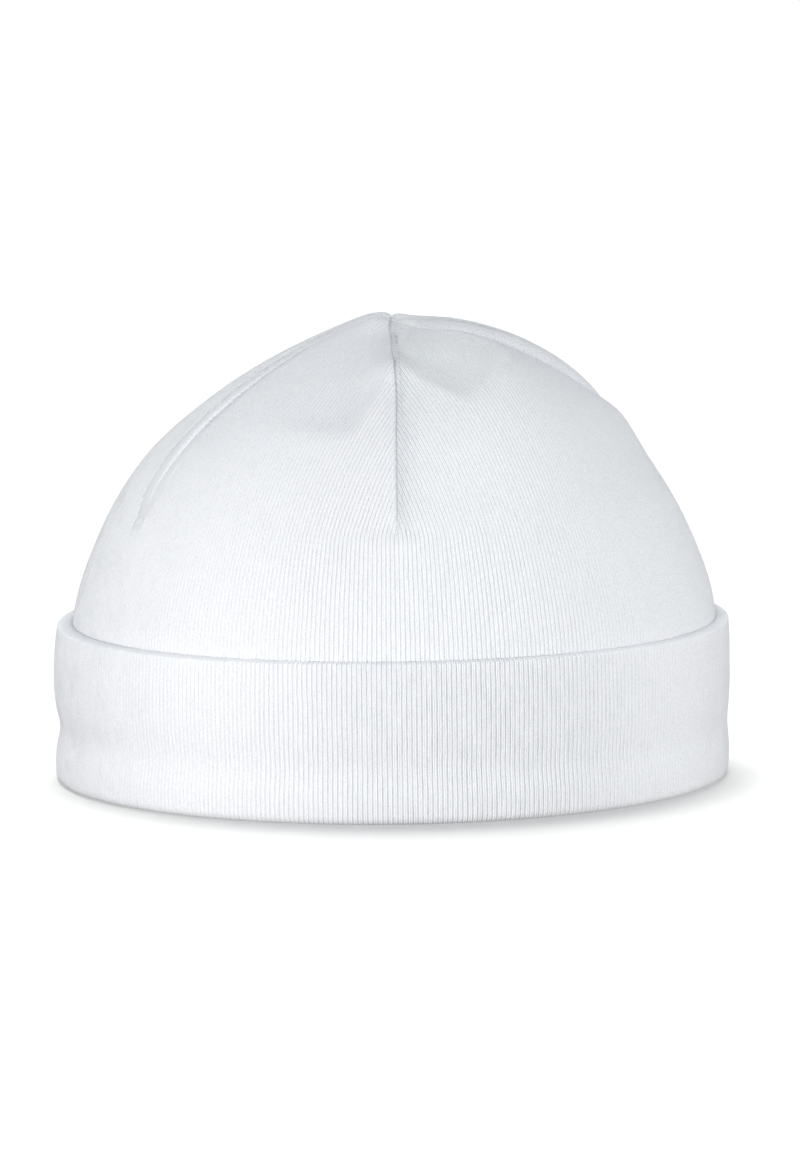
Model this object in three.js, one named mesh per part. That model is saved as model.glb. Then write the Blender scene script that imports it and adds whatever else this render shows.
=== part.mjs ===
// A knitted beanie with a plain turned-up cuff, standing on its cuff.
//
// Millimetres and degrees. +Z is up, the front faces -Y and +X is on the viewer's right.
// The origin is the centre of the base. An azimuth is 0 at the front and grows towards +X.
// The crown is one thin hollow wall, drawn in by four sewn darts that meet at the apex.
// The cuff is a doubled band that is folded at its top edge and turns in under the crown.
import * as THREE from 'three';

// Driving dimensions
const CROWN_WALL = 1.2; // one layer of rib knit
const PLY_GAP = 0.35; // between the crown and the cuff that hugs it
const HEM_HEIGHT = 2.2; // thickness of the fold under the crown's lower edge
const HEM_ROUNDING = 0.8; // of that fold's inner edge
const BASE_FOLD_RADIUS = 1.6; // rounding of the fold that the beanie stands on
const APEX_SHIFT = 0.5; // how far the darts meet to the right of the middle

// Reach of the crown's outer face from the centre of the base, at each rise above the floor.
const CROWN_SECTIONS = [
  { rise: 2.5, front: 57.0, right: 57.4, back: 57.0, left: 57.0 },
  { rise: 15, front: 59.0, right: 59.4, back: 59.0, left: 59.0 },
  { rise: 29, front: 65.3, right: 65.5, back: 64.7, left: 64.3 },
  { rise: 38, front: 68.8, right: 68.4, back: 67.8, left: 67.1 },
  { rise: 46, front: 71.3, right: 70.7, back: 70.3, left: 69.8 },
  { rise: 54, front: 73.7, right: 73.7, back: 73.0, left: 72.3 },
  { rise: 62, front: 76.2, right: 77.5, back: 76.2, left: 74.1 },
  { rise: 69, front: 78.2, right: 79.8, back: 78.0, left: 76.0 },
  { rise: 75, front: 79.8, right: 81.4, back: 79.6, left: 77.8 },
  { rise: 81, front: 81.4, right: 82.3, back: 81.2, left: 79.9 },
  { rise: 86, front: 82.5, right: 82.2, back: 82.3, left: 82.3 },
  { rise: 90, front: 84.2, right: 84.2, back: 84.2, left: 84.2 },
];

// The sewn darts, in the order of their azimuths, with the path of each seam from the dart's
// foot to the apex and the depth of its groove.
const DARTS = [
  {
    name: 'front',
    depth: 0.9,
    path: [
      { rise: 45, azimuth: 1.2 },
      { rise: 60, azimuth: 2 },
      { rise: 72, azimuth: 3 },
      { rise: 86, azimuth: 1 },
      { rise: 90, azimuth: -3 },
    ],
  },
  {
    name: 'right',
    depth: 1.1,
    path: [
      { rise: 45, azimuth: 107 },
      { rise: 54, azimuth: 104 },
      { rise: 66, azimuth: 95.5 },
      { rise: 78, azimuth: 85 },
      { rise: 90, azimuth: 74 },
    ],
  },
  {
    name: 'back',
    depth: 0.9,
    path: [
      { rise: 45, azimuth: 192 },
      { rise: 67, azimuth: 188 },
      { rise: 90, azimuth: 177 },
    ],
  },
  {
    name: 'left',
    depth: 1.0,
    path: [
      { rise: 45, azimuth: 296.8 },
      { rise: 60, azimuth: 293.5 },
      { rise: 90, azimuth: 288 },
    ],
  },
];
const DART_FOOT_RISE = 45; // where the darts begin
const DART_RAMP = 9; // degrees of rise over which a dart reaches its full depth
const DART_WIDTH = 1.8; // how far a dart draws in the knit beside it, low on the crown
const APEX_DART_WIDTH = 0.8; // the same where the darts meet
const APEX_PINCH = 2.5; // depth of the pinch where the darts meet
const APEX_PINCH_RADIUS = 2.2;
const TAPER_RADIUS = 16; // inside this radius the darts narrow

// Knit that swells beside a seam, or sinks where the height is negative. The side is 1 past
// the seam and -1 before it. It is strongest at a radius and fades over the spread.
const SWELLS = [
  { dart: 'front', side: 1, height: -0.6, breadth: 2.8, radius: 31, spread: 9 },
  { dart: 'right', side: 1, height: 1.15, breadth: 2.6, radius: 42, spread: 15 },
  { dart: 'right', side: -1, height: -2.4, breadth: 9, radius: 24, spread: 15 },
  { dart: 'left', side: -1, height: 0.55, breadth: 1.6, radius: 36, spread: 14 },
];
const SINK_WALL = 3; // how far past a seam the sunk knit climbs back

// Near the apex the two front panels lie lower than the two behind them.
const APEX_SAG = { left: 0.5, right: 1.9 };
const APEX_SAG_RADIUS = 9;
const APEX_LOBE_WIDTH = 1.5; // past the side seams, over which the back panels rise again

// Soft hollows in the knit: azimuth and rise of the middle, depth, half width and half height.
const HOLLOWS = [
  { name: 'beside the front dart, right', azimuth: 34, rise: 74, depth: 0.5, across: 8, along: 5 },
  { name: 'at the front dart’s foot', azimuth: 1.5, rise: 44, depth: 0.4, across: 4, along: 1.6 },
];

// Dents in the front, each with a sharp lower corner at `right` of the middle and `height`
// above the floor. The lower edge climbs to the left of it and the side edge leans over it.
const DENTS = [
  { right: -5.9, height: 65.9, climb: 0.05, lean: 0.55, depth: 2.3, across: 14, up: 8 },
  { right: 14.4, height: 70.6, climb: 0.3, lean: 1.0, depth: 2.2, across: 16, up: 6.5 },
];
const DENT_EDGE = 3; // over which a dent deepens from its side edge
const DENT_MARGIN = 6; // in front of the side seams, where the dents have run out

// Outer face of the cuff at each height, and the height of its top edge.
const CUFF_SECTIONS = [
  { height: 1.6, front: 59.7, right: 59.9, back: 59.7, left: 60.1 },
  { height: 5, front: 59.8, right: 60.0, back: 59.8, left: 60.0 },
  { height: 9.5, front: 59.25, right: 59.7, back: 59.3, left: 59.2 },
  { height: 13, front: 59.5, right: 60.0, back: 59.5, left: 59.9 },
  { height: 17, front: 59.65, right: 60.2, back: 59.6, left: 60.3 },
  { height: 24, front: 59.7, right: 60.2, back: 59.7, left: 60.0 },
  { height: 29, front: 59.5, right: 60.0, back: 59.3, left: 59.3 },
];
const CUFF_TOP = { front: 28.4, right: 28.6, back: 28.8, left: 29.1 };
const CUFF_SHOULDER = { front: 1.9, right: 2.6, back: 2.4, left: 3.4 }; // its rounding's height

// How finely the solids are divided
const PANEL_COLUMNS = 18; // between two darts
const CROWN_RINGS = 27;
const CUFF_COLUMNS = 72;
const CUFF_FACE_RINGS = 8;
const FOLD_STEPS = 4;

const radians = THREE.MathUtils.degToRad;
const degrees = THREE.MathUtils.radToDeg;
const clamp = THREE.MathUtils.clamp;
const lerp = THREE.MathUtils.lerp;

/** Blends four values, one for each side of the beanie, smoothly round it. */
function around(sides, azimuth) {
  const forward = Math.cos(radians(azimuth));
  const sideways = Math.sin(radians(azimuth));
  const nearer = forward > 0 ? sides.front : sides.back;
  const beside = sideways > 0 ? sides.right : sides.left;
  return nearer * forward ** 2 + beside * sideways ** 2;
}

/** Value at `place` of a smooth curve through a table, whose column `key` grows. */
function along(table, key, place, value) {
  const last = table.length - 1;
  let i = 0;
  while (i < last - 1 && table[i + 1][key] < place) {
    i += 1;
  }
  const rows = [i - 1, i, i + 1, i + 2].map((n) => table[clamp(n, 0, last)]);
  const [p0, p1, p2, p3] = rows.map(value);
  const [x0, x1, x2, x3] = rows.map((row) => row[key]);
  const span = x2 - x1;
  const t = clamp((place - x1) / span, 0, 1);
  const slopeIn = (p2 - p0) / (x2 - x0) * span;
  const slopeOut = (p3 - p1) / (x3 - x1) * span;
  const bend = (p1 - p2) * 2 + slopeIn + slopeOut;
  return p1 + t * (slopeIn + t * (p2 - p1 - slopeIn - bend + t * bend));
}

/** Azimuth of a dart's seam at a rise: straight up below the foot, curved above it. */
function seamAzimuth(dart, rise) {
  return along(dart.path, 'rise', rise, (row) => row.azimuth);
}

/** Signed turn from one azimuth to another, between -180 and 180. */
function turnTo(azimuth, from) {
  return ((azimuth - from + 540) % 360) - 180;
}

/** Signed distance round the crown from a dart's seam. */
function acrossSeam(name, azimuth, rise, radius) {
  const dart = DARTS.find((one) => one.name === name);
  return radians(turnTo(azimuth, seamAzimuth(dart, rise))) * radius;
}

/** How far the darts and the knit beside them move the face, inwards if negative. */
function dartRelief(azimuth, rise, radius, spread) {
  const sewn = THREE.MathUtils.smoothstep(rise, DART_FOOT_RISE, DART_FOOT_RISE + DART_RAMP);
  const width = lerp(APEX_DART_WIDTH, DART_WIDTH, clamp(radius / TAPER_RADIUS, 0, 1)) + spread;
  const pinch = Math.exp(-((radius / APEX_PINCH_RADIUS) ** 2));
  let deepest = 0;
  for (const dart of DARTS) {
    const offset = acrossSeam(dart.name, azimuth, rise, radius);
    const depth = lerp(dart.depth, APEX_PINCH, pinch);
    deepest = Math.max(deepest, depth * Math.exp(-Math.abs(offset) / width));
  }
  let swell = 0;
  for (const { dart, side, height, breadth, radius: middle, spread: reach } of SWELLS) {
    const beside = side * acrossSeam(dart, azimuth, rise, radius);
    const past = Math.max(beside, 0) / breadth;
    const ridge = past * Math.exp(1 - past);
    const sunk = Math.exp(-past) * Math.exp(Math.min(beside, 0) / SINK_WALL);
    const share = (1 - pinch) * Math.exp(-(((radius - middle) / reach) ** 2));
    swell += height * share * (height > 0 ? ridge : sunk);
  }
  return sewn * (swell - deepest);
}

/** How far the front panels sag below the back ones near the apex. */
function apexSag(azimuth, rise, radius) {
  const sideways = Math.sin(radians(azimuth)) * radius;
  const toRight = THREE.MathUtils.smoothstep(sideways, -4, 4);
  const pastRight = acrossSeam('right', azimuth, rise, radius);
  const pastLeft = -acrossSeam('left', azimuth, rise, radius);
  const behind = Math.max(sideways > 0 ? pastRight : pastLeft, 0);
  const nearTop = Math.exp(-((radius / APEX_SAG_RADIUS) ** 2)) - Math.exp(-((radius / 1.2) ** 2));
  const sag = lerp(APEX_SAG.left, APEX_SAG.right, toRight);
  return sag * Math.max(nearTop, 0) * Math.exp(-behind / APEX_LOBE_WIDTH);
}

/** How far the soft hollows and the dents move the face inwards. */
function hollowRelief(azimuth, rise, reach, radius) {
  let depth = 0;
  for (const hollow of HOLLOWS) {
    const across = radians(turnTo(azimuth, hollow.azimuth)) * radius / hollow.across;
    const up = radians(rise - hollow.rise) * reach / hollow.along;
    depth += hollow.depth * Math.exp(-(across ** 2) - up ** 2);
  }
  const sideways = Math.sin(radians(azimuth)) * radius;
  const height = Math.sin(radians(rise)) * reach;
  const beforeRight = -acrossSeam('right', azimuth, rise, radius);
  const beforeLeft = acrossSeam('left', azimuth, rise, radius);
  const before = Math.max(sideways > 0 ? beforeRight : beforeLeft, 0);
  const clear = 1 - Math.exp(-((before / DENT_MARGIN) ** 2));
  for (const dent of DENTS) {
    const inside = Math.max(dent.right + dent.lean * (height - dent.height) - sideways, 0);
    const above = Math.max(height - dent.height - dent.climb * inside, 0) / dent.up;
    const sunk = above * Math.exp(1 - above) * (1 - Math.exp(-inside / DENT_EDGE));
    depth += dent.depth * clear * sunk * Math.exp(-((inside / dent.across) ** 2));
  }
  return depth;
}

/** Distance of the crown's smooth face from the centre of the base, less `inset`. */
function crownReach(azimuth, rise, inset) {
  return along(CROWN_SECTIONS, 'rise', rise, (row) => around(row, azimuth)) - inset;
}

/** A point of the crown's wall. `inset` is 0 on the outer face. */
function crownPoint(azimuth, rise, inset) {
  const smooth = crownReach(azimuth, rise, inset);
  const radius = smooth * Math.cos(radians(rise));
  const relief = dartRelief(azimuth, rise, radius, inset * 0.6);
  const sunk = hollowRelief(azimuth, rise, smooth, radius) + apexSag(azimuth, rise, radius);
  const reach = smooth + relief - sunk;
  const height = reach * Math.sin(radians(rise));
  const lean = APEX_SHIFT * THREE.MathUtils.smoothstep(rise, DART_FOOT_RISE, 90);
  const out = reach * Math.cos(radians(rise));
  const turn = radians(azimuth);
  return new THREE.Vector3(out * Math.sin(turn) + lean, -out * Math.cos(turn), height);
}

/** Radius of the crown's outer face at a height below the darts. */
function crownRadius(azimuth, height) {
  let radius = CROWN_SECTIONS[0].front;
  for (let pass = 0; pass < 4; pass += 1) {
    const rise = degrees(Math.atan2(height, radius));
    radius = crownReach(azimuth, rise, 0) * Math.cos(radians(rise));
  }
  return radius;
}

/**
 * Closed skin through rings of points, taken in order down the outside. A ring of one
 * point is a pole. With `wrap` the last ring joins the first.
 */
function skinThrough(rings, wrap) {
  const positions = [];
  const starts = [];
  for (const ring of rings) {
    starts.push(positions.length / 3);
    for (const point of ring) {
      positions.push(point.x, point.y, point.z);
    }
  }
  const index = [];
  const bands = wrap ? rings.length : rings.length - 1;
  for (let i = 0; i < bands; i += 1) {
    const next = (i + 1) % rings.length;
    const columns = Math.max(rings[i].length, rings[next].length);
    for (let j = 0; j < columns; j += 1) {
      const upper = [j, j + 1].map((n) => starts[i] + n % rings[i].length);
      const lower = [j, j + 1].map((n) => starts[next] + n % rings[next].length);
      if (rings[next].length > 1) {
        index.push(upper[0], lower[0], lower[1]);
      }
      if (rings[i].length > 1) {
        index.push(upper[0], lower[1], upper[1]);
      }
    }
  }
  const geometry = new THREE.BufferGeometry();
  geometry.setAttribute('position', new THREE.Float32BufferAttribute(positions, 3));
  geometry.setIndex(index);
  geometry.computeVertexNormals();
  return geometry;
}

/** Azimuths of the crown's columns at a rise, crowded beside each dart. */
function crownColumns(rise) {
  const columns = [];
  DARTS.forEach((dart, i) => {
    const start = seamAzimuth(dart, rise);
    const next = seamAzimuth(DARTS[(i + 1) % DARTS.length], rise);
    const width = (next - start + 360) % 360;
    for (let j = 0; j < PANEL_COLUMNS; j += 1) {
      const t = j / PANEL_COLUMNS;
      const crowded = t - 0.8 * Math.sin(2 * Math.PI * t) / (2 * Math.PI);
      columns.push(start + width * crowded);
    }
  });
  return columns;
}

/** Rings of the crown's face at one inset, from just below the apex to the lower edge. */
function crownRings(inset) {
  const lowest = CROWN_SECTIONS[0].rise;
  const rings = [];
  for (let i = 1; i <= CROWN_RINGS; i += 1) {
    const rise = 90 - (90 - lowest) * (i / CROWN_RINGS) ** 1.5;
    rings.push(crownColumns(rise).map((azimuth) => crownPoint(azimuth, rise, inset)));
  }
  return rings;
}

function crownGeometry() {
  const outer = [[crownPoint(0, 90, 0)], ...crownRings(0)];
  const inner = [[crownPoint(0, 90, CROWN_WALL)], ...crownRings(CROWN_WALL)];
  return skinThrough([...outer, ...inner.reverse()], false);
}

/** The cuff's section at an azimuth: down the outer face, under the crown, and up inside. */
function cuffSection(azimuth) {
  const top = around(CUFF_TOP, azimuth);
  const drop = around(CUFF_SHOULDER, azimuth);
  const shoulder = top - drop;
  const hug = (height) => crownRadius(azimuth, height) + PLY_GAP;
  const face = (height) => along(CUFF_SECTIONS, 'height', height, (row) => around(row, azimuth));
  const section = [];
  const add = (radius, height) => section.push([radius, height]);

  const outerEdge = face(shoulder);
  const innerEdge = hug(top);
  for (let i = 0; i <= FOLD_STEPS; i += 1) {
    const turn = Math.PI / 2 * (1 - i / FOLD_STEPS);
    const out = lerp(innerEdge, outerEdge, Math.cos(turn));
    add(out, shoulder + drop * Math.sin(turn));
  }
  for (let i = 1; i <= CUFF_FACE_RINGS; i += 1) {
    const height = lerp(shoulder, BASE_FOLD_RADIUS, i / CUFF_FACE_RINGS);
    add(face(height), height);
  }
  const foldCentre = face(BASE_FOLD_RADIUS) - BASE_FOLD_RADIUS;
  for (let i = 1; i <= FOLD_STEPS; i += 1) {
    const turn = Math.PI / 2 * (i / FOLD_STEPS);
    const fall = BASE_FOLD_RADIUS * Math.sin(turn);
    add(foldCentre + BASE_FOLD_RADIUS * Math.cos(turn), BASE_FOLD_RADIUS - fall);
  }
  const lip = crownRadius(azimuth, HEM_HEIGHT) - CROWN_WALL;
  add(lip + HEM_ROUNDING, 0);
  add(lip + HEM_ROUNDING * 0.3, HEM_ROUNDING * 0.3);
  add(lip, HEM_ROUNDING);
  add(lip, HEM_HEIGHT);
  add(hug(HEM_HEIGHT), HEM_HEIGHT);
  for (const share of [0.3, 0.6, 0.85]) {
    add(hug(top * share), top * share);
  }
  return section;
}

function cuffGeometry() {
  const sections = [];
  for (let j = 0; j < CUFF_COLUMNS; j += 1) {
    const azimuth = 360 * j / CUFF_COLUMNS;
    const turn = radians(azimuth);
    sections.push(cuffSection(azimuth).map(([radius, height]) => (
      new THREE.Vector3(radius * Math.sin(turn), -radius * Math.cos(turn), height)
    )));
  }
  const rings = sections[0].map((_, i) => sections.map((section) => section[i]));
  return skinThrough(rings, true);
}

const knit = { color: 0xf1f4f8, roughness: 0.9, metalness: 0 };

function piece(name, geometry) {
  const mesh = new THREE.Mesh(geometry, new THREE.MeshStandardMaterial(knit));
  mesh.name = name;
  return mesh;
}

const beanie = new THREE.Group();
beanie.name = 'beanie';
beanie.add(piece('crown', crownGeometry()));
beanie.add(piece('cuff', cuffGeometry()));

export default beanie;
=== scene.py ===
"""A baby's white rib-knit beanie, whose crown is drawn in by four darts and stands in its turned-up cuff."""

import math
from collections import namedtuple

import bpy
import numpy as np
from mathutils import Matrix, Vector


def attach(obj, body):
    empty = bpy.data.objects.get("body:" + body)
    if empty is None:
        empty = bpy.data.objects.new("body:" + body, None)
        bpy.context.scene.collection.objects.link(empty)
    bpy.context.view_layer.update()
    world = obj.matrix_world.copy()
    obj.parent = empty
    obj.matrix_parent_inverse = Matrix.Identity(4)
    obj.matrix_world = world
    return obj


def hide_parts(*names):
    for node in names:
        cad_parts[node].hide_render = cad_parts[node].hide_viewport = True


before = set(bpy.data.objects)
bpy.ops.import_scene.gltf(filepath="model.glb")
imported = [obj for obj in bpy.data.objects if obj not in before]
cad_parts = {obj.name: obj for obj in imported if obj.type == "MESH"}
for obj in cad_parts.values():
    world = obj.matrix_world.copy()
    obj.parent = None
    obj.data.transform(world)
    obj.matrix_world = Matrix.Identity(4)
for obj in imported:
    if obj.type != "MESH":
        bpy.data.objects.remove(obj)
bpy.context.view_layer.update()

# ---------------------------------------------------------------- driving sizes, in millimetres and degrees
# An azimuth is 0 at the front and grows towards the right. A rise is the angle above the floor of a line
# from the middle of the base, a reach is the length of that line, and a radius is the distance from the
# hat's upright axis.

MM = 0.001
HAIR = 1e-6  # places closer than this are the same

# the crown
CROWN_WALL = 1.2
CROWN_HEM_RISE = 2.5
# reach of the crown's outer face: rise, front, right, back, left
CROWN_REACH = np.array([
    (2.5, 57.0, 57.4, 57.0, 57.0),
    (15, 59.0, 59.4, 59.0, 59.0),
    (29, 65.3, 65.5, 64.7, 64.3),
    (38, 68.8, 68.4, 67.8, 67.1),
    (46, 71.3, 71.1, 70.3, 69.8),
    (54, 73.7, 73.9, 73.0, 72.3),
    (62, 76.2, 77.5, 76.2, 74.1),
    (69, 78.2, 79.8, 78.0, 76.0),
    (75, 79.8, 81.4, 79.6, 77.8),
    (81, 81.4, 82.3, 81.2, 79.9),
    (86, 82.5, 82.2, 82.3, 82.3),
    (90, 84.2, 84.2, 84.2, 84.2),
])
TYPICAL_REACH = 74.0

# the seams' paths up the crown: rise, azimuth
DARTS = {
    "front": np.array([
        (45, 1.4), (54, 1.5), (61, 1.6), (67, 2.0), (70.5, 2.0),
        (74, 1.5), (78, 1.0), (84, -0.8), (87, -3.5), (90, -6),
    ]),
    "right": np.array([
        (45, 107), (54, 104), (60, 99.5), (66, 95.5), (72, 90.5), (78, 85), (84, 80), (90, 74),
    ]),
    "back": np.array([(45, 192), (56, 190.5), (67, 188), (78, 183), (90, 177)]),
    "left": np.array([(45, 296.8), (60, 293.5), (72, 292), (84, 289), (90, 288)]),
}
DART_FOOT_RISE = 45
DART_RAMP = 5  # rise above their feet over which the darts take hold

# The sewn groove: its depth, how quickly it closes before the seam and past it, the radius from which it is
# fully deep, and the rise above its foot over which it is drawn in.
Groove = namedtuple("Groove", "depth before past full_radius ramp")
GROOVES = {
    "front": Groove(0.5, 0.15, 1.3, 30, 5),
    "right": Groove(0.6, 0.3, 0.45, 17, 16),
    "back": Groove(0.8, 0.8, 0.8, 1, 5),
    "left": Groove(0.35, 0.3, 1.2, 24, 14),
}
GROOVE_AT_TOP = 0.25  # share of its depth that a groove keeps near the apex
GROOVE_TOP_SHARE = 0.3  # share of its full radius inside which it has only that
GROOVE_SPREAD = 0.6  # how much wider a groove is on the inner face, as a share of the wall

# Cloth that swells along a seam, or sinks where the height is negative. The side is 1 past the seam and -1
# before it. It is strongest at a radius and fades over the spread, and a wavy one is uneven along the seam.
Swell = namedtuple("Swell", "dart side height breadth radius spread wave")
SWELLS = [
    Swell("front", -1, 0.45, 1.5, 22, 5, 0),
    Swell("front", 1, 0.3, 2.0, 22, 4, 0),
    Swell("front", 1, -0.6, 2.8, 31, 9, 0),
    Swell("right", 1, 0.9, 4.5, 31, 12, 0),
    Swell("right", -1, 1.25, 3.5, 41.5, 4.0, 0),
    Swell("right", -1, -2.0, 9.0, 24, 15, 0),
    Swell("left", -1, 0.3, 1.2, 34, 9, 0.22),
    Swell("left", 1, -0.25, 4.0, 32, 10, 0),
]
SWELL_WAVES = ((1.1, 0), (0.7, 1))  # a wavy swell's two waves: how quickly each turns, and where it starts
SINK_WALL = 3.0  # how far past a seam sunk cloth climbs back

# Where the darts meet, the cloth is pinched in. Round it the two front panels lie lower than the back ones.
APEX_SHIFT = 0.5  # how far to the right the darts meet
APEX_PINCH = 2.2
APEX_PINCH_RADIUS = 1.8
APEX_SAG = {"left": 0.6, "right": 2.0}
APEX_SAG_RADIUS = 10.5
APEX_SAG_START = 1.2  # radius inside which nothing sags
APEX_SAG_BLEND = 4  # to either side of the middle, over which the left sag passes into the right one
APEX_LOBE_WIDTH = 3.5  # behind the side seams, over which the back panels rise again

# soft hollows in the cloth, or swellings where the depth is negative
Hollow = namedtuple("Hollow", "azimuth rise depth across up")
HOLLOWS = [
    Hollow(34, 74, 0.5, 8, 5),
    Hollow(-3, 73.5, -0.6, 4, 3.6),
    Hollow(6, 72.5, -0.5, 2.5, 3),
    Hollow(1.5, 45.3, 0.4, 4.0, 0.9),
    Hollow(1.2, 43.6, -0.4, 7, 1.5),
]
# Dents in the front, each with a sharp lower corner at a place to the right and a height. Its lower edge
# climbs away from it to the left, and its side edge leans over it.
Dent = namedtuple("Dent", "right height climb lean depth across up")
DENTS = [
    Dent(-5.9, 65.9, 0.05, 0.55, 2.3, 14, 8.0),
    Dent(14.4, 70.6, 0.3, 1.0, 2.2, 16, 6.5),
]
DENT_SIDE = 3  # over which a dent deepens from its side edge
DENT_MARGIN = 6  # kept clear of the side seams

# the crown's panels: the dart on either side, and the azimuth whose wale runs straight to the top
Panel = namedtuple("Panel", "left right grain")
PANELS = [
    Panel("front", "right", 33),
    Panel("right", "back", 150),
    Panel("back", "left", 243),
    Panel("left", "front", 327.6),
]

# the cuff
# radius of its outer face: height, front, right, back, left
CUFF_RADIUS = np.array([
    (1.6, 59.7, 59.9, 59.7, 60.1),
    (5, 59.8, 60.0, 59.8, 60.0),
    (9.5, 59.25, 59.7, 59.3, 59.2),
    (13, 59.5, 60.0, 59.5, 59.9),
    (17, 59.65, 60.2, 59.6, 60.3),
    (24, 59.7, 60.2, 59.7, 60.0),
    (29, 59.5, 60.0, 59.3, 59.3),
])
# its top edge's height and the drop of its rounded shoulder: front, right, back, left
CUFF_TOP = np.array((28.7, 28.1, 28.3, 27.9))
CUFF_SHOULDER = np.array((0.6, 0.65, 0.7, 0.75))
CUFF_SHOULDER_POWER = 0.8  # 1 is round, and less is squarer
CUFF_STRETCH = 1.3  # how much further open the cuff's knit is than the crown's
BASE_FOLD_RADIUS = 1.6
PLY_GAP = 0.35  # between the crown and the cuff
HEM_HEIGHT = 2.2
HEM_ROUNDING = 0.8
HEM_CORNER = 0.3  # how far the rounding's middle lies from its corner, as a share of it

# the rib knit
WALES = 426
WALES_PER_DEGREE = WALES / 360
COURSE = 0.62  # height of a stitch
WALE_DEPTH = 0.2
WALE_POWER = 3  # how narrow the grooves between wales are
WALE_MIDDLE = 0.45  # depth of the line down a wale's middle, as a share of the groove's
# where the knit is stretched open, so that the grooves between its wales show and the painted shade in them
# is stronger: azimuth, spread
OPEN_KNIT = [(13, 26), (112, 30), (205, 34), (286, 18)]
OPEN_KNIT_TURN = (9, 25, 60)  # how much further left it lies higher up, and the rises between which it turns
CLOSED_KNIT = 0.38
TIGHTER_KNIT = (0.3, 35, 60)  # by what share it is tighter higher up, and the rises between which it tightens

# the knit beside the seams
# how much the ribs flatten out, and over what breadth
SEAM_QUIET = {"front": (0.1, 1.5), "right": (0.85, 2.0), "back": (0.5, 1.5), "left": (0.8, 3.0)}
QUIET_AT_TOP = 0.4  # least breadth, at the apex
QUIET_RADIUS = 30  # from which the breadth is full
# how much wider the ribs open just past the front seam, and over what breadth; it deepens their relief up to
# its full depth and darkens the painted shade between them
SEAM_OPEN = (0.6, 3.0)
# how dark the painted shade along the line in each seam is: radius, shade
PAINTED_LINE_SHADE = {
    "front": np.array([(1, 1.6), (4.5, 1.6), (6.5, 0.15), (20, 0.15), (26, 0.55), (60, 0.55)]),
    "right": np.array([(5, 0), (16, 0.9), (19, 1.8), (32, 1.8), (37, 0.2), (50, 0)]),
    "back": np.array([(3, 0), (10, 0.8), (50, 0.8)]),
    "left": np.array([(4, 0), (12, 0.8), (18, 1.5), (34, 1.5), (41, 0.4), (45, 0)]),
}
PAINTED_LINE_BREADTH = {"front": 0.22, "right": 0.5, "back": 0.22, "left": 0.22}  # how broad that line is
PAINTED_LINE_RAMP = 1.5  # rise above its foot over which it darkens
# the painted shade in the tuck on the far side of a seam: strength, breadth, radius by which it is gone
PAINTED_TUCK_SHADE = {"front": (0.55, 1.4, 70), "right": (0.9, 1.0, 38)}
PAINTED_TUCK_FADE = 8  # over which it goes
PAINTED_TUCK_START = (2, 8)  # radii between which it comes, near the apex

# the meshes' columns and rows
WALE_STEPS = 4  # columns to a wale
COLUMN_MARGIN = 0.1  # kept clear of the darts' feet, in columns
# columns that follow the seams: shares of how far out from its seam the last one runs
SEAM_COLUMNS = np.array((0.035, 0.08, 0.14, 0.22, 0.32, 0.45, 0.6, 0.78, 1.0))
SEAM_BAND = {"front": 0.9, "right": 3.6, "back": 1.8, "left": 3.2}  # how far out that is
SEAM_BAND_SHARE = 0.3  # of a panel's width that each band takes at most
SEAM_BAND_FADE = 3  # rise under the darts' feet over which the band's ribs fade out
PANEL_SAMPLES = 361  # azimuths at which a row's wales are worked out
# rows of the crown: spacing, finest spacing near the top, rise of the first close row, rises under it
Rows = namedtuple("Rows", "spacing finest first below")
OUTER_ROWS = Rows(1.6, 0.35, 22.0, (CROWN_HEM_RISE, 12.0))
INNER_ROWS = Rows(3.2, 0.9, 10.0, (CROWN_HEM_RISE,))
ROW_GROWTH = 0.16  # how much further apart rows are for each millimetre of radius
LAST_ROW = 1.2  # radius of the last row, in finest spacings
# rows of the cuff: round its shoulder, down its face, round its base fold, and behind it, as shares of
# its height
SHOULDER_ROWS = 9
FACE_ROWS = 15
FOLD_ROWS = 7
CUFF_HIDDEN_ROWS = (0.3, 0.6, 0.85)
RISES_IN_CUFF = (0.0, 40.0)  # of the crown, out to well above the cuff's top edge
HALVINGS = 30
MERGE_GAP = 0.002  # points closer than this are merged
SLIVER = 0.0001  # edges shorter than this are dissolved


# ---------------------------------------------------------------- the crown's and the cuff's faces

def smoothstep(value, start, end):
    share = np.clip((value - start) / (end - start), 0, 1)
    return share * share * (3 - 2 * share)


def around(sides, azimuth):
    """Blends front, right, back and left values round the hat."""
    cosine = np.cos(np.radians(azimuth))
    sine = np.sin(np.radians(azimuth))
    deep = np.where(cosine > 0, sides[..., 0], sides[..., 2])
    wide = np.where(sine > 0, sides[..., 1], sides[..., 3])
    return deep * cosine ** 2 + wide * sine ** 2


def along(table, key):
    """A smooth curve through a table's rows, keyed by their first column."""
    keys, values = table[:, 0], table[:, 1:]
    last = len(table) - 1
    start = np.clip(np.searchsorted(keys, key, side="left") - 1, 0, last - 1)
    before, end, after = np.clip(start - 1, 0, last), start + 1, np.clip(start + 2, 0, last)
    span = (keys[end] - keys[start])[..., None]
    share = np.clip((key - keys[start]) / (keys[end] - keys[start]), 0, 1)[..., None]
    leaving = (values[end] - values[before]) / (keys[end] - keys[before])[..., None] * span
    arriving = (values[after] - values[start]) / (keys[after] - keys[start])[..., None] * span
    bend = (values[start] - values[end]) * 2 + leaving + arriving
    rest = values[end] - values[start] - leaving - bend
    return values[start] + share * (leaving + share * (rest + share * bend))


def walked(points):
    """How far along a line of points each one is."""
    steps = np.linalg.norm(np.diff(points, axis=0), axis=-1)
    return np.concatenate([[0.0], np.cumsum(steps)])


def seam_azimuth(dart, rise):
    return along(DARTS[dart], np.asarray(rise, float))[..., 0]


def turn_to(azimuth, other):
    """The signed turn from the other azimuth to this one."""
    return (azimuth - other + 540) % 360 - 180


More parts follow.
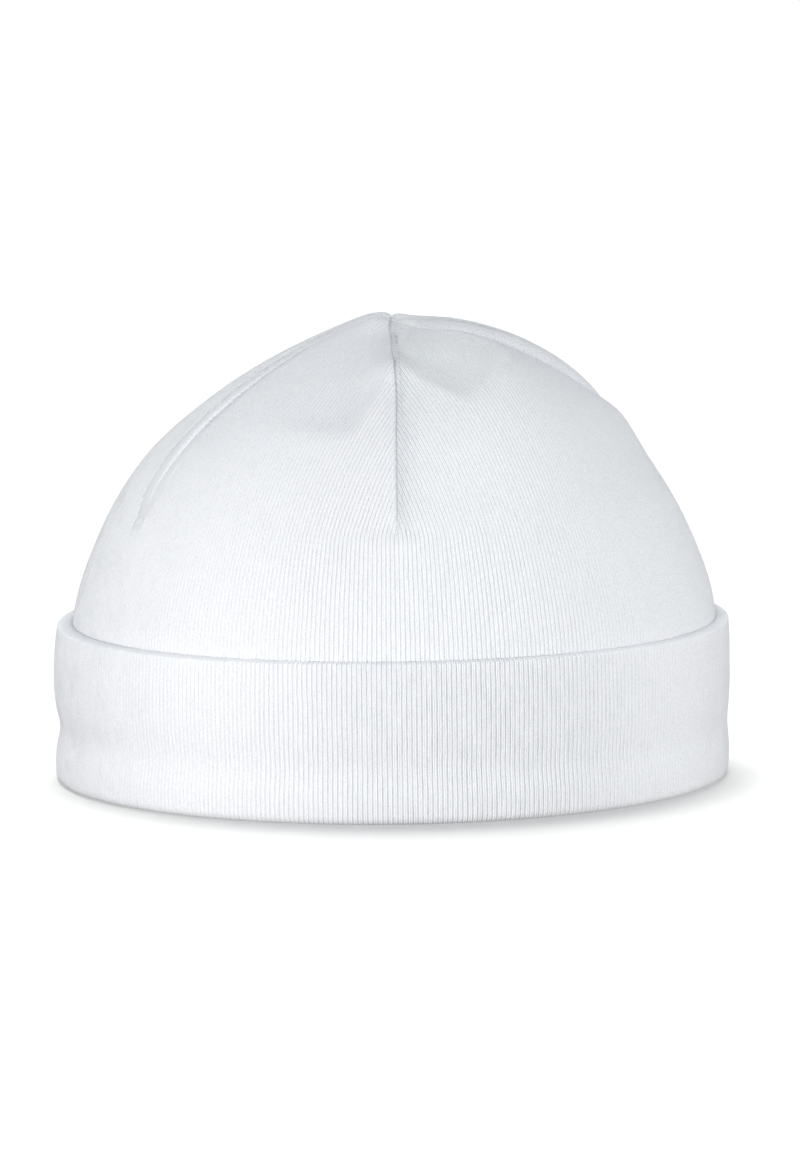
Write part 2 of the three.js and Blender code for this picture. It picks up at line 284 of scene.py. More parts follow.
def across_seam(dart, azimuth, rise, radius):
    """Signed distance round the crown from a seam."""
    return np.radians(turn_to(azimuth, seam_azimuth(dart, rise))) * radius


def sewn_share(rise, ramp=DART_RAMP):
    """How far a dart has taken hold, from 0 at its foot to 1 once it has risen by its ramp."""
    return smoothstep(rise, DART_FOOT_RISE, DART_FOOT_RISE + ramp)


def dart_relief(azimuth, rise, radius, spread):
    """How far the darts pull the cloth in, and how it swells or sinks beside them."""
    pinch = np.exp(-(radius / APEX_PINCH_RADIUS) ** 2)
    drawn_in = np.zeros_like(radius)
    for dart, groove in GROOVES.items():
        offset = across_seam(dart, azimuth, rise, radius)
        width = np.where(offset < 0, groove.before, groove.past) + spread
        near_top = smoothstep(radius, GROOVE_TOP_SHARE * groove.full_radius, groove.full_radius)
        depth = groove.depth * sewn_share(rise, groove.ramp) * (1 - pinch)
        depth = depth * (GROOVE_AT_TOP + (1 - GROOVE_AT_TOP) * near_top)
        drawn_in = np.maximum(drawn_in, depth * np.exp(-np.abs(offset) / width))
    swollen = np.zeros_like(radius)
    waves = np.prod([np.sin(radius * speed + start) for speed, start in SWELL_WAVES], axis=0)
    for swell in SWELLS:
        beside = swell.side * across_seam(swell.dart, azimuth, rise, radius)
        offset = np.maximum(beside, 0) / swell.breadth
        wall = np.exp(np.minimum(beside, 0) / SINK_WALL)
        shape = offset * np.exp(1 - offset) if swell.height > 0 else np.exp(-offset) * wall
        height = swell.height * (1 + swell.wave * waves) * shape * (1 - pinch)
        swollen = swollen + height * np.exp(-((radius - swell.radius) / swell.spread) ** 2)
    return sewn_share(rise) * swollen - drawn_in - APEX_PINCH * pinch


def on_either_side(azimuth, right, left):
    return np.where(np.sin(np.radians(azimuth)) > 0, right, left)


def apex_sag(azimuth, rise, radius):
    """Near the top the front panels lie lower than the back ones, which stand up behind them in lobes."""
    past_right = np.maximum(across_seam("right", azimuth, rise, radius), 0)
    past_left = np.maximum(-across_seam("left", azimuth, rise, radius), 0)
    front_panels = np.exp(-on_either_side(azimuth, past_right, past_left) / APEX_LOBE_WIDTH)
    to_right = smoothstep(np.sin(np.radians(azimuth)) * radius, -APEX_SAG_BLEND, APEX_SAG_BLEND)
    sag = APEX_SAG["left"] * (1 - to_right) + APEX_SAG["right"] * to_right
    near_top = np.exp(-(radius / APEX_SAG_RADIUS) ** 2) * (1 - np.exp(-(radius / APEX_SAG_START) ** 2))
    return sag * near_top * front_panels


def hollow_relief(azimuth, rise, reach, radius):
    """How deep the hollows and the dents are."""
    depth = np.zeros_like(radius)
    for hollow in HOLLOWS:
        sideways = np.radians(turn_to(azimuth, hollow.azimuth)) * radius / hollow.across
        upward = np.radians(rise - hollow.rise) * reach / hollow.up
        depth = depth + hollow.depth * np.exp(-sideways ** 2 - upward ** 2)
    to_right = np.sin(np.radians(azimuth)) * radius
    height = np.sin(np.radians(rise)) * reach
    before_right = np.maximum(-across_seam("right", azimuth, rise, radius), 0)
    before_left = np.maximum(across_seam("left", azimuth, rise, radius), 0)
    from_seam = on_either_side(azimuth, before_right, before_left)
    clear = 1 - np.exp(-(from_seam / DENT_MARGIN) ** 2)
    for dent in DENTS:
        inside = np.maximum(dent.right + dent.lean * (height - dent.height) - to_right, 0)
        above = np.maximum(height - dent.height - dent.climb * inside, 0) / dent.up
        shape = above * np.exp(1 - above) * (1 - np.exp(-inside / DENT_SIDE))
        shape = shape * np.exp(-(inside / dent.across) ** 2)
        depth = depth + dent.depth * shape * clear
    return depth


def crown_reach(azimuth, rise, inset=0.0):
    return around(along(CROWN_REACH, rise), azimuth) - inset


def crown_point(azimuth, rise, inset=0.0, raised=0.0):
    """A point of the crown, inset from its outer face and raised by the knit's own relief."""
    azimuth, rise = np.broadcast_arrays(np.asarray(azimuth, float), np.asarray(rise, float))
    reach = crown_reach(azimuth, rise, inset)
    radius = reach * np.cos(np.radians(rise))
    length = reach + dart_relief(azimuth, rise, radius, inset * GROOVE_SPREAD) + raised
    length = length - hollow_relief(azimuth, rise, reach, radius) - apex_sag(azimuth, rise, radius)
    lean = APEX_SHIFT * smoothstep(rise, DART_FOOT_RISE, 90)
    out = length * np.cos(np.radians(rise))
    turn = np.radians(azimuth)
    return np.stack([out * np.sin(turn) + lean, -out * np.cos(turn), length * np.sin(np.radians(rise))], -1)


def crown_radius(azimuth, height):
    """Radius of the crown's outer face at a height inside the cuff, found by halving a span of rises."""
    low, high = (np.full_like(azimuth, rise) for rise in RISES_IN_CUFF)
    for _ in range(HALVINGS):
        middle = (low + high) / 2
        above = crown_reach(azimuth, middle) * np.sin(np.radians(middle)) > height
        high = np.where(above, middle, high)
        low = np.where(above, low, middle)
    return crown_reach(azimuth, low) * np.cos(np.radians(low))


def openness(azimuth, rise):
    """How far the knit is stretched open, from CLOSED_KNIT to 1."""
    turn, start, end = OPEN_KNIT_TURN
    stretched = np.zeros_like(azimuth)
    for middle, spread in OPEN_KNIT:
        turned = turn_to(azimuth, middle - turn * smoothstep(rise, start, end))
        stretched = np.maximum(stretched, np.exp(-(turned / spread) ** 2 / 2))
    return CLOSED_KNIT + (1 - CLOSED_KNIT) * stretched


def wale_relief(wales, stretched):
    """The knit's relief across the wales: a groove between wales and a faint line down the middle of each."""
    wave = np.cos(2 * np.pi * wales)
    lines = ((1 + wave) / 2) ** WALE_POWER + WALE_MIDDLE * ((1 - wave) / 2) ** WALE_POWER
    return -WALE_DEPTH * stretched * lines


# ---------------------------------------------------------------- meshes

def deselect_all():
    for one in bpy.context.selected_objects:
        one.select_set(False)
    bpy.context.view_layer.objects.active = None


def select_only(pieces):
    deselect_all()
    for one in pieces:
        one.select_set(True)
    bpy.context.view_layer.objects.active = pieces[0]


def knit_sheet(name, places, coordinates, shades):
    """A grid with a row for each line of courses and a column for each wale step, laid onto its places."""
    places = np.array(places)
    coordinates = np.array(coordinates)
    rows, columns = places.shape[:2]
    deselect_all()
    bpy.ops.mesh.primitive_grid_add(x_subdivisions=columns - 1, y_subdivisions=rows - 1, size=1)
    sheet = bpy.context.object
    sheet.name = name
    mesh = sheet.data
    mesh.name = name
    mesh.vertices.foreach_set("co", (places * MM).astype(np.float32).ravel())
    corners = np.zeros(len(mesh.loops), np.int32)
    mesh.loops.foreach_get("vertex_index", corners)
    while mesh.uv_layers:
        mesh.uv_layers.remove(mesh.uv_layers[0])
    layer = mesh.uv_layers.new(name="wales")
    layer.uv.foreach_set("vector", coordinates.reshape(-1, 2)[corners].astype(np.float32).ravel())
    for name_of_shade, values in shades.items():
        shade = mesh.attributes.new(name_of_shade, "FLOAT", "POINT")
        shade.data.foreach_set("value", np.array(values).astype(np.float32).ravel())
    mesh.update()
    return sheet


def joined(name, sheets):
    """Joins sheets into one piece and closes the places where they meet."""
    select_only(sheets)
    if len(sheets) > 1:
        bpy.ops.object.join()
    piece = bpy.context.object
    piece.name = name
    piece.data.name = name
    bpy.ops.object.mode_set(mode="EDIT")
    bpy.ops.mesh.select_all(action="SELECT")
    bpy.ops.mesh.remove_doubles(threshold=MERGE_GAP * MM)
    bpy.ops.mesh.dissolve_degenerate(threshold=SLIVER * MM)
    bpy.ops.mesh.normals_make_consistent(inside=False)
    bpy.ops.object.mode_set(mode="OBJECT")
    bpy.ops.object.shade_smooth()
    return piece


# ---------------------------------------------------------------- the crown

def panel_wales(grain, azimuth, rise):
    """The wale at an azimuth: above the darts' feet the wales keep their pitch and the seams cut them off."""
    radius = crown_reach(azimuth, rise) * np.cos(np.radians(rise))
    foot_reach = crown_reach(azimuth, np.full_like(azimuth, DART_FOOT_RISE))
    foot_radius = foot_reach * math.cos(math.radians(DART_FOOT_RISE))
    share = np.where(rise > DART_FOOT_RISE, radius / foot_radius, 1)
    return WALES_PER_DEGREE * (grain + (azimuth - grain) * share)


def seam_columns(dart, side, seam, wales_below, sewn, radius, widest):
    """Azimuths of the columns beside a seam: they keep to their wales below its foot and follow it above."""
    spread = np.degrees(SEAM_COLUMNS * min(SEAM_BAND[dart], widest) / max(radius, HAIR))[::side]
    return wales_below + (seam + side * spread - wales_below) * sewn


def panel_row(panel, low, high, rise, columns, beside):
    """Azimuths of a row's columns, the wale at each, and which of them belong to the seams."""
    seen = np.linspace(low, high, PANEL_SAMPLES)
    wales = panel_wales(panel.grain, seen, np.full_like(seen, rise))
    start, end = np.array([low]), np.array([high])
    if beside:
        radius = float(crown_reach((low + high) / 2, rise)) * math.cos(math.radians(rise))
        band = (float(sewn_share(rise)), radius, SEAM_BAND_SHARE * math.radians(high - low) * radius)
        below_left, below_right = columns[:beside] / WALES_PER_DEGREE, columns[-beside:] / WALES_PER_DEGREE
        start = np.append(start, seam_columns(panel.left, 1, low, below_left, *band))
        end = np.append(seam_columns(panel.right, -1, high, below_right, *band), end)
    edges = np.interp((start[-1], end[0]), seen, wales)
    between = np.interp(np.clip(columns[beside:len(columns) - beside], *edges), wales, seen)
    azimuth = np.concatenate([start, between, end])
    along_seam = (azimuth <= start[-1] + HAIR) | (azimuth >= end[0] - HAIR)
    return azimuth, np.interp(azimuth, seen, wales), along_seam


def panel_stretch(panel, low, high, azimuth, rise, radius):
    """How far a row's knit is stretched open, first by itself and then with what the seams do to it."""
    tighter, start, end = TIGHTER_KNIT
    slack = openness(azimuth, rise) * (1 - tighter * smoothstep(rise, start, end))
    sewn = sewn_share(rise)
    quiet = np.zeros_like(azimuth)
    for dart, away in ((panel.left, azimuth - low), (panel.right, high - azimuth)):
        strength, breadth = SEAM_QUIET[dart]
        breadth = QUIET_AT_TOP + breadth * smoothstep(radius, 0, QUIET_RADIUS)
        quiet = quiet + strength * np.exp(-np.radians(away) * radius / breadth)
    stretched = slack * (1 - sewn * np.minimum(quiet, 1))
    if panel.left == "front":
        wider, breadth = SEAM_OPEN
        stretched = stretched * (1 + sewn * wider * np.exp(-np.radians(azimuth - low) * radius / breadth))
    return slack, stretched


def paint_seam_shade(azimuth, rise, radius):
    """How dark the painted shade is along the line in each seam, and in the tuck beside it."""
    painted_seam_shade = np.zeros_like(azimuth)
    for dart in DARTS:
        offset = across_seam(dart, azimuth, rise, radius)
        line = np.interp(radius, *PAINTED_LINE_SHADE[dart].T) * np.exp(-(offset / PAINTED_LINE_BREADTH[dart]) ** 2)
        painted_seam_shade = np.maximum(painted_seam_shade, line)
        if dart in PAINTED_TUCK_SHADE:
            strength, breadth, gone = PAINTED_TUCK_SHADE[dart]
            tuck = strength * np.exp(-offset / breadth) * (offset > -HAIR)
            tuck = tuck * smoothstep(radius, *PAINTED_TUCK_START) * smoothstep(radius, gone, gone - PAINTED_TUCK_FADE)
            painted_seam_shade = np.maximum(painted_seam_shade, tuck)
    return painted_seam_shade * sewn_share(rise, PAINTED_LINE_RAMP)


def crown_panel(name, panel, rises, steps, inset, beside):
    """One panel of the crown between two darts, with so many columns beside each seam that follow it."""
    whole = 360 if DARTS[panel.right][0, 1] < DARTS[panel.left][0, 1] else 0
    first = DARTS[panel.left][0, 1] * WALES_PER_DEGREE
    last = (DARTS[panel.right][0, 1] + whole) * WALES_PER_DEGREE
    columns = np.arange(math.ceil(first * steps + COLUMN_MARGIN),
                        math.floor(last * steps - COLUMN_MARGIN) + 1) / steps
    travelled = walked(crown_point(float(panel.grain), rises, inset))
    places, coordinates, painted_shade_rows, opened = [], [], [], []
    for rise, height in zip(rises, travelled):
        low = float(seam_azimuth(panel.left, rise))
        high = float(seam_azimuth(panel.right, rise)) + whole
        azimuth, number, along_seam = panel_row(panel, low, high, rise, columns, beside)
        flat = np.full_like(azimuth, rise)
        radius = crown_reach(azimuth, flat) * np.cos(np.radians(flat))
        slack, stretched = panel_stretch(panel, low, high, azimuth, rise, radius)
        knit = wale_relief(number, np.minimum(stretched, 1))
        knit[[0, -1]] = wale_relief(np.array((first, last)), slack[[0, -1]])
        faded = 1 - smoothstep(rise, DART_FOOT_RISE - SEAM_BAND_FADE, DART_FOOT_RISE)
        knit = np.where(along_seam, knit * faded, knit)
        # above the darts' feet the courses run straight across the panel, so they dip towards its seams
        swing = math.sin(math.radians(rise)) * radius * np.radians(azimuth - panel.grain) ** 2 / 2
        places.append(crown_point(azimuth, flat, inset, knit if inset == 0 else 0.0))
        coordinates.append(np.stack([number, height + swing * sewn_share(rise)], -1))
        # painted shade along each seam's line and in its tuck, kept on the mesh for the material
        painted_shade_rows.append(paint_seam_shade(azimuth, flat, radius))
        opened.append(stretched)
    return knit_sheet(name, places, coordinates, {"painted_seam_shade": painted_shade_rows, "open": opened})


def crown_rises(rows):
    """Rises of the crown's rows, close together at the top."""
    rises = list(rows.below)
    rise = rows.first
    while True:
        radius = TYPICAL_REACH * math.cos(math.radians(rise))
        if radius < rows.finest * LAST_ROW:
            break
        rises.append(rise)
        rise += math.degrees(min(rows.spacing, rows.finest + ROW_GROWTH * radius) / TYPICAL_REACH)
    rises.append(90.0)
    return np.array(rises)


def crown_skin(name, rows, steps, inset, beside):
    """One face of the crown, all round."""
    rises = crown_rises(rows)
    return joined(name, [crown_panel(f"{name}_{number}", panel, rises, steps, inset, beside)
                         for number, panel in enumerate(PANELS)])


def build_crown():
    outer_skin = crown_skin("crown_outer", OUTER_ROWS, WALE_STEPS, 0.0, len(SEAM_COLUMNS))
    inner_skin = crown_skin("crown_inner", INNER_ROWS, 1, CROWN_WALL, 0)
    select_only([outer_skin, inner_skin])
    bpy.ops.object.join()
    crown = bpy.context.object
    crown.name = crown.data.name = "knit_crown"
    # the wall is closed under its hem
    bpy.ops.object.mode_set(mode="EDIT")
    bpy.ops.mesh.select_mode(type="EDGE")
    bpy.ops.mesh.select_all(action="DESELECT")
    bpy.ops.mesh.select_non_manifold(extend=False, use_wire=False, use_multi_face=False,
                                     use_non_contiguous=False, use_verts=False)
    bpy.ops.mesh.bridge_edge_loops()
    bpy.ops.mesh.select_all(action="SELECT")
    bpy.ops.mesh.normals_make_consistent(inside=False)
    bpy.ops.object.mode_set(mode="OBJECT")
    return crown


# ---------------------------------------------------------------- the cuff

def cuff_section(azimuth):
    """The cuff's section: over the top fold, down the face, round the base fold and up behind the cuff.

    Each row gives a radius, a height and how much of the ribs shows there.
    """
    top = around(CUFF_TOP, azimuth)
    drop = around(CUFF_SHOULDER, azimuth)
    shoulder = top - drop
    level = np.zeros_like(azimuth)

    def face(height):
        return around(along(CUFF_RADIUS, height), azimuth)

    outer_edge = face(shoulder)
    inner_edge = crown_radius(azimuth, top)
    section = []
    for turn in np.radians(np.linspace(90, 0, SHOULDER_ROWS)):
        across = max(math.cos(turn), 0.0) ** CUFF_SHOULDER_POWER
        up = math.sin(turn) ** CUFF_SHOULDER_POWER
        section.append((inner_edge + (outer_edge - inner_edge) * across, shoulder + drop * up, 1.0))
    for share in np.linspace(0, 1, FACE_ROWS)[1:]:
        height = shoulder + (BASE_FOLD_RADIUS - shoulder) * share
        section.append((face(height), height, 1.0))
    fold_centre = face(level + BASE_FOLD_RADIUS) - BASE_FOLD_RADIUS
    for turn in np.radians(np.linspace(0, 90, FOLD_ROWS)[1:]):
        section.append((fold_centre + BASE_FOLD_RADIUS * np.cos(turn),
                        level + BASE_FOLD_RADIUS * (1 - np.sin(turn)), float(np.cos(turn))))
    hem = crown_radius(azimuth, HEM_HEIGHT)
    lip = hem - CROWN_WALL
    section += [
        (lip + HEM_ROUNDING, level, 0.0),
        (lip + HEM_ROUNDING * HEM_CORNER, level + HEM_ROUNDING * HEM_CORNER, 0.0),
        (lip, level + HEM_ROUNDING, 0.0),
        (lip, level + HEM_HEIGHT, 0.0),
        (hem + PLY_GAP, level + HEM_HEIGHT, 0.0),
    ]
    for share in CUFF_HIDDEN_ROWS:
        section.append((crown_radius(azimuth, top * share) + PLY_GAP, top * share, 0.0))
    section.append((inner_edge, top, 1.0))
    return section


def build_cuff():
    number = np.arange(WALES * WALE_STEPS + 1) / WALE_STEPS
    azimuth = number / WALES_PER_DEGREE
    turn = np.radians(azimuth)
    stretched = openness(azimuth, 0.0) * CUFF_STRETCH
    knit = wale_relief(number, stretched)
    section = cuff_section(azimuth)
    radius = np.array([row_radius + knit * ribbed for row_radius, _, ribbed in section])
    height = np.array([row_height for _, row_height, _ in section])
    places = np.stack([radius * np.sin(turn), -radius * np.cos(turn), height], -1)
    travelled = walked(np.stack([radius[:, 0], height[:, 0]], -1))[:, None]
    coordinates = np.stack(np.broadcast_arrays(number, -travelled), -1)
    # the cuff has no seams, so it carries none of the painted seam shade
    shades = {"painted_seam_shade": np.zeros_like(radius), "open": np.broadcast_to(stretched, radius.shape)}
    return joined("turned_cuff", [knit_sheet("turned_cuff", places, coordinates, shades)])


# ---------------------------------------------------------------- the rib-knit finish

# how fine each pattern in the cloth is
DRIFT_SCALE = 160.0
COURSE_SCALE = 700.0
FIBRE_SCALE = 3800.0
GRAIN_SCALE = 2300.0
SPECKLE_SCALE = 3300.0
TINT_SCALE = 45.0
LOOSENESS_SCALE = 1.6
WALE_STRIDE = 7.31  # between neighbouring wales in the looseness pattern, so that they have nothing in common
LOOSENESS_ALONG = 0.09  # how slowly looseness changes along a wale

WALE_DRIFT = 0.3  # how far wales wander, in wales
COURSE_DRIFT = 1.6  # how far stitches stray from their course, in courses
STITCH_LEAN = 0.3  # how far a stitch's legs lean, in courses
GROOVE_SHARPNESS = 5.0
MIDDLE_SHARPNESS = 6.0
CLOSED_BELOW = 0.9  # openness under which the knit counts as closed

# the height of each pattern, in units of the bump's distance
BUMP_DISTANCE = 0.16 * MM
BUMP_STRENGTH = 0.75
GROOVE_HEIGHT = -1.3
MIDDLE_HEIGHT = -0.6
STITCH_HEIGHT = 0.018
FIBRE_HEIGHT = 0.35
GRAIN_HEIGHT = 0.9

# how far each pattern takes the colour from the cotton's to the shade's: painted shade between wales and
# along the seams, and darker speckles
PAINTED_GROOVE_SHADE = 0.67
PAINTED_MIDDLE_SHARE = 0.65  # of the groove's shade
PAINTED_SEAM_STRENGTH = 0.55
SPECKLE_SHADE = 0.6
CLOSED_SPECKLE = 0.8  # what closed knit adds to the speckle
SPECKLE_LEVEL = 0.47  # of the pattern, above which it darkens
COTTON = ((0.855, 0.859, 0.872), (0.869, 0.873, 0.885))
PAINTED_SHADE_AND_SPECKLE_COLOUR = (0.5, 0.53, 0.58)


def node(tree, kind, **settings):
    made = tree.nodes.new(kind)
    for name, value in settings.items():
        setattr(made, name, value)
    return made


def calculate(tree, operation, *values):
    """A Math node on sockets or numbers."""
    made = node(tree, "ShaderNodeMath", operation=operation)
    for slot, value in enumerate(values):
        if isinstance(value, (int, float)):
            made.inputs[slot].default_value = value
        else:
            tree.links.new(value, made.inputs[slot])
    return made.outputs[0]


def blend_colours(tree, share, first, second):
    made = node(tree, "ShaderNodeMix", data_type="RGBA")
    tree.links.new(share, made.inputs["Factor"])
    for socket, value in ((made.inputs[6], first), (made.inputs[7], second)):
        if isinstance(value, tuple):
            socket.default_value = (*value, 1)
        else:
            tree.links.new(value, socket)
    return made.outputs[2]


def noise(tree, place, scale, detail=2.0, roughness=0.5, dimensions="3D"):
    made = node(tree, "ShaderNodeTexNoise", noise_dimensions=dimensions)
    made.inputs["Scale"].default_value = scale
    made.inputs["Detail"].default_value = detail
    made.inputs["Roughness"].default_value = roughness
    tree.links.new(place, made.inputs["Vector"])
    return made.outputs["Fac"]


def attribute(tree, name):
    return node(tree, "ShaderNodeAttribute", attribute_name=name).outputs["Fac"]


def rib_knit_material():
    material = bpy.data.materials.new("white_rib_knit")
    material.use_nodes = True
    tree = material.node_tree
    shader = tree.nodes["Principled BSDF"]
    place = node(tree, "ShaderNodeTexCoord").outputs["Object"]
    cloth = node(tree, "ShaderNodeUVMap", uv_map="wales").outputs["UV"]
    split = node(tree, "ShaderNodeSeparateXYZ")
    tree.links.new(cloth, split.inputs[0])
    across, up = split.outputs[0], split.outputs[1]
    opened = attribute(tree, "open")
    open_squared = calculate(tree, "MULTIPLY", opened, opened)
    closed = calculate(tree, "MAXIMUM", calculate(tree, "SUBTRACT", CLOSED_BELOW, opened), 0.0)

    # wales wander a little from side to side
    drift = calculate(tree, "SUBTRACT", noise(tree, place, DRIFT_SCALE), 0.5)
    wale = calculate(tree, "ADD", across, calculate(tree, "MULTIPLY", drift, WALE_DRIFT))
    wave = calculate(tree, "COSINE", calculate(tree, "MULTIPLY", wale, 2 * math.pi))
    to_groove = calculate(tree, "MULTIPLY_ADD", wave, 0.5, 0.5)
    to_middle = calculate(tree, "SUBTRACT", 1.0, to_groove)
    groove = calculate(tree, "POWER", to_groove, GROOVE_SHARPNESS)
    middle = calculate(tree, "POWER", to_middle, MIDDLE_SHARPNESS)

    # every wale is a little looser or tighter than the next, and changes along its length; this sets only how
    # dark the painted shade between wales is
    along_wale = node(tree, "ShaderNodeCombineXYZ")
    whole_wale = calculate(tree, "ROUND", across)
    tree.links.new(calculate(tree, "MULTIPLY", whole_wale, WALE_STRIDE), along_wale.inputs[0])
    tree.links.new(calculate(tree, "MULTIPLY", up, LOOSENESS_ALONG), along_wale.inputs[1])
    stretch = along_wale.outputs[0]
    looseness = noise(tree, stretch, LOOSENESS_SCALE, detail=4.0, roughness=0.65, dimensions="2D")

    # one stitch per course, its two legs leaning together
    lean = calculate(tree, "MULTIPLY", to_groove, STITCH_LEAN)
    course = calculate(tree, "ADD", calculate(tree, "DIVIDE", up, COURSE), lean)
    course = calculate(tree, "MULTIPLY_ADD", noise(tree, place, COURSE_SCALE), COURSE_DRIFT, course)
    stitch = calculate(tree, "SINE", calculate(tree, "MULTIPLY", course, 2 * math.pi))

    # grooves and the wales' middles are deeper where the knit is open, and closed knit is grainy
    fibre = noise(tree, place, FIBRE_SCALE, roughness=0.6)
    grain = noise(tree, place, GRAIN_SCALE, roughness=0.6)
    height = calculate(tree, "MULTIPLY", groove, calculate(tree, "MULTIPLY", opened, GROOVE_HEIGHT))
    for pattern, amount in (
        (middle, calculate(tree, "MULTIPLY", open_squared, MIDDLE_HEIGHT)),
        (stitch, STITCH_HEIGHT),
        (fibre, FIBRE_HEIGHT),
        (grain, calculate(tree, "MULTIPLY", closed, GRAIN_HEIGHT)),
    ):
        height = calculate(tree, "MULTIPLY_ADD", pattern, amount, height)
    bump = node(tree, "ShaderNodeBump")
    bump.inputs["Strength"].default_value = BUMP_STRENGTH
    bump.inputs["Distance"].default_value = BUMP_DISTANCE
    tree.links.new(height, bump.inputs["Height"])
    tree.links.new(bump.outputs["Normal"], shader.inputs["Normal"])

    # clean cotton with cool painted shade between open wales and in the seams, and darker fine speckles
    cotton = blend_colours(tree, noise(tree, place, TINT_SCALE, detail=3.0), *COTTON)
    lines = calculate(tree, "MULTIPLY_ADD", middle, PAINTED_MIDDLE_SHARE, groove)
    painted_groove_strength = calculate(tree, "MULTIPLY", open_squared, PAINTED_GROOVE_SHADE)
    shade = calculate(tree, "MULTIPLY", calculate(tree, "MULTIPLY", lines, looseness), painted_groove_strength)
    speckle = calculate(tree, "SUBTRACT", noise(tree, place, SPECKLE_SCALE, detail=1.0), SPECKLE_LEVEL)
    speckled = calculate(tree, "MULTIPLY_ADD", closed, CLOSED_SPECKLE, SPECKLE_SHADE)
    shade = calculate(tree, "MULTIPLY_ADD", speckle, speckled, shade)
    # painted shade along each seam's line and in its tuck, from the value stored on the mesh
    shade = calculate(tree, "MULTIPLY_ADD", attribute(tree, "painted_seam_shade"), PAINTED_SEAM_STRENGTH, shade)
    shade = calculate(tree, "MINIMUM", calculate(tree, "MAXIMUM", shade, 0.0), 1.0)
    tree.links.new(blend_colours(tree, shade, cotton, PAINTED_SHADE_AND_SPECKLE_COLOUR), shader.inputs["Base Color"])
    shader.inputs["Roughness"].default_value = 0.9
    shader.inputs["Specular IOR Level"].default_value = 0.2
    shader.inputs["Sheen Weight"].default_value = 0.15
    shader.inputs["Sheen Roughness"].default_value = 0.5
    return material


# ---------------------------------------------------------------- floor, light and camera, in metres

FLOOR_SIZE = 60
FLOOR_COLOUR = (0.87, 0.86, 0.84)
FLOOR_GLOW = 0.17
SURROUND = 0.3  # strength of the light from all round
SKY_TINT = (0.85, 0.93, 1.0)
FLOOR_BOUNCE = 0.53  # strength of the light from below

# Lamps aimed at a point over the middle of the base. The size is a softbox's breadth or a sun's angle.
LAMP_AIM = Vector((0, 0, 0.04))
SOFTBOX_DISTANCE = 1.6
Lamp = namedtuple("Lamp", "kind azimuth elevation power size lights")
LAMPS = {
    "left_softbox": Lamp("AREA", -50, 12, 10.1, 0.55, "hat"),
    "right_softbox": Lamp("AREA", 75, 9, 7.4, 0.55, "hat"),
    "front_softbox": Lamp("AREA", 2, 19, 13.6, 0.9, "hat"),
    "back_softbox": Lamp("AREA", 180, 35, 5.5, 0.9, "hat"),
    "back_fill": Lamp("AREA", 180, 3, 6.0, 0.9, "hat"),
    "top_softbox": Lamp("AREA", 0, 78, 4.0, 0.9, "cuff"),
    "floor_sun": Lamp("SUN", -170, 68, 2.6, 34, "floor"),
}

CAMERA_ELEVATION = 8.2
CAMERA_ROLL = 0.6
CAMERA_DISTANCE = 3.0
CAMERA_CLIP = 50
VIEW_HEIGHT = 0.20613  # how much the camera takes in at the hat's distance
AIM_RIGHT = 0.00125
AIM_UP = 0.03482


def plain_material(name, colour, glow):
    material = bpy.data.materials.new(name)
    material.use_nodes = True
    shader = material.node_tree.nodes["Principled BSDF"]
    shader.inputs["Base Color"].default_value = (*colour, 1)
    shader.inputs["Roughness"].default_value = 1.0
    shader.inputs["Specular IOR Level"].default_value = 0.0
    shader.inputs["Emission Color"].default_value = (1, 1, 1, 1)
    shader.inputs["Emission Strength"].default_value = glow
    return material


def towards(azimuth, elevation):
    """The direction from the hat to a point at this azimuth and elevation."""
    turn, lift = math.radians(azimuth), math.radians(elevation)
    return Vector((math.sin(turn) * math.cos(lift), -math.cos(turn) * math.cos(lift), math.sin(lift)))


def add_lamp(name, row, lit):
    """A soft lamp aimed at the hat, which lights only the objects given."""
    light = bpy.data.lights.new(name, row.kind)
    light.energy = row.power
    if row.kind == "AREA":
        light.shape = "DISK"
        light.size = row.size
    else:
        light.angle = math.radians(row.size)
    holder = bpy.data.objects.new(name, light)
    bpy.context.scene.collection.objects.link(holder)
    direction = towards(row.azimuth, row.elevation)
    holder.location = LAMP_AIM + direction * SOFTBOX_DISTANCE
    holder.rotation_euler = direction.to_track_quat("Z", "Y").to_euler()
    receivers = bpy.data.collections.new(name + "_lights")
    for one in lit:
        receivers.objects.link(one)
    holder.light_linking.receiver_collection = receivers


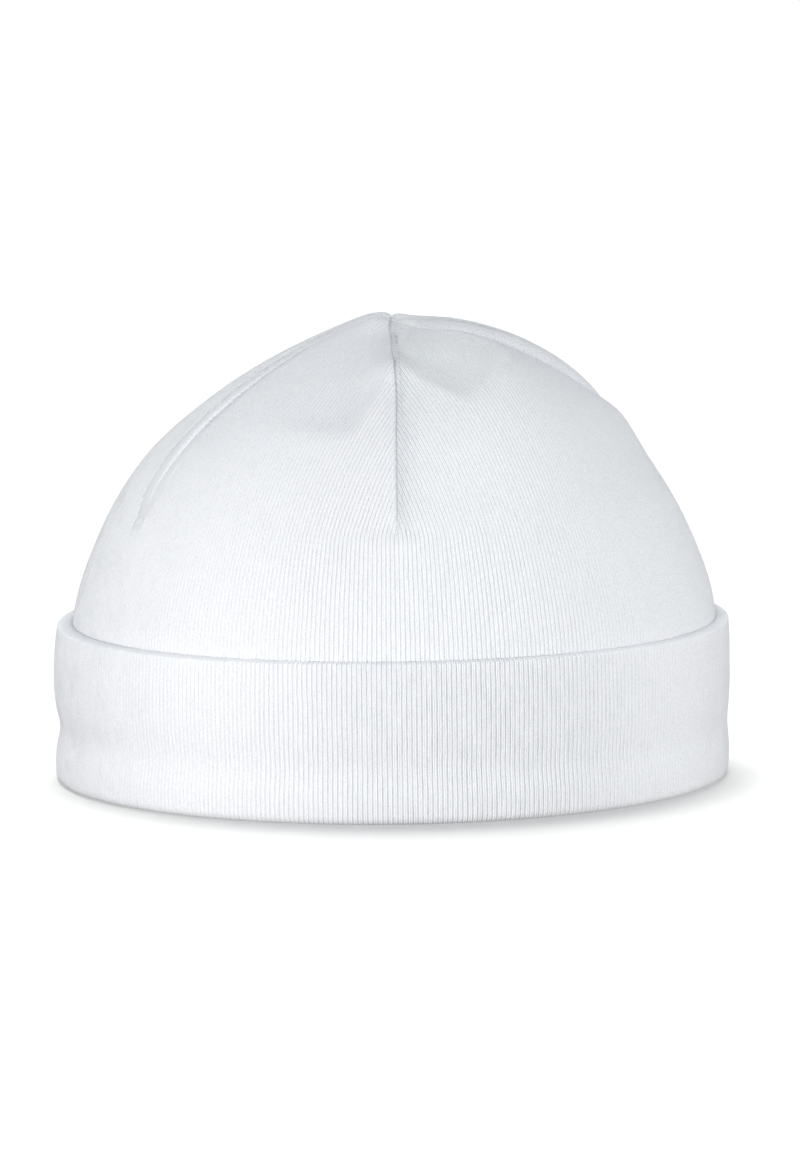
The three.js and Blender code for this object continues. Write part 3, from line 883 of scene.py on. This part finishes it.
def build_surround():
    """Even light from all round, stronger from below, behind a plain white background."""
    world = bpy.data.worlds.new("studio")
    bpy.context.scene.world = world
    world.use_nodes = True
    tree = world.node_tree
    background = tree.nodes["Background"]
    split = node(tree, "ShaderNodeSeparateXYZ")
    tree.links.new(node(tree, "ShaderNodeTexCoord").outputs["Generated"], split.inputs[0])
    below = calculate(tree, "LESS_THAN", split.outputs[2], 0.0)
    soft = calculate(tree, "MULTIPLY_ADD", below, FLOOR_BOUNCE - SURROUND, SURROUND)
    seen = node(tree, "ShaderNodeLightPath").outputs["Is Camera Ray"]
    tree.links.new(calculate(tree, "MAXIMUM", soft, seen), background.inputs["Strength"])
    untinted = calculate(tree, "MAXIMUM", seen, below)
    tree.links.new(blend_colours(tree, untinted, SKY_TINT, (1.0, 1.0, 1.0)), background.inputs["Color"])


def build_stage(crown, cuff):
    deselect_all()
    bpy.ops.mesh.primitive_plane_add(size=FLOOR_SIZE, location=(0, 0, 0))
    floor = bpy.context.object
    floor.name = "studio_floor"
    floor.data.materials.append(plain_material("floor_white", FLOOR_COLOUR, FLOOR_GLOW))
    # the cloth's light from below comes from the surround, as FLOOR_BOUNCE, so the floor adds none
    floor.visible_diffuse = False
    build_surround()
    lit = {"hat": [crown, cuff], "cuff": [cuff], "floor": [floor]}
    for name, row in LAMPS.items():
        add_lamp(name, row, lit[row.lights])


def build_camera():
    """A long lens a little above the hat's own level, looking at its front."""
    lift, roll = math.radians(CAMERA_ELEVATION), math.radians(CAMERA_ROLL)
    ahead = Vector((0, math.cos(lift), -math.sin(lift)))
    level_up = Vector((0, math.sin(lift), math.cos(lift)))
    right = Vector((1, 0, 0)) * math.cos(roll) - level_up * math.sin(roll)
    up = Vector((1, 0, 0)) * math.sin(roll) + level_up * math.cos(roll)
    camera = bpy.data.cameras.new("camera")
    camera.lens = camera.sensor_width * CAMERA_DISTANCE / VIEW_HEIGHT
    camera.clip_end = CAMERA_CLIP
    holder = bpy.data.objects.new("camera", camera)
    bpy.context.scene.collection.objects.link(holder)
    turned = Matrix((right, up, -ahead)).transposed().to_4x4()
    turned.translation = right * AIM_RIGHT + up * AIM_UP - ahead * CAMERA_DISTANCE
    holder.matrix_world = turned
    bpy.context.scene.camera = holder


bpy.context.scene.view_settings.view_transform = "Standard"

build_camera()
rib_knit = rib_knit_material()
crown = build_crown()
cuff = build_cuff()
for piece, node_name in ((crown, "crown"), (cuff, "cuff")):
    piece.data.materials.clear()
    piece.data.materials.append(rib_knit)
    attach(piece, "root")
    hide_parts(node_name)
build_stage(crown, cuff)
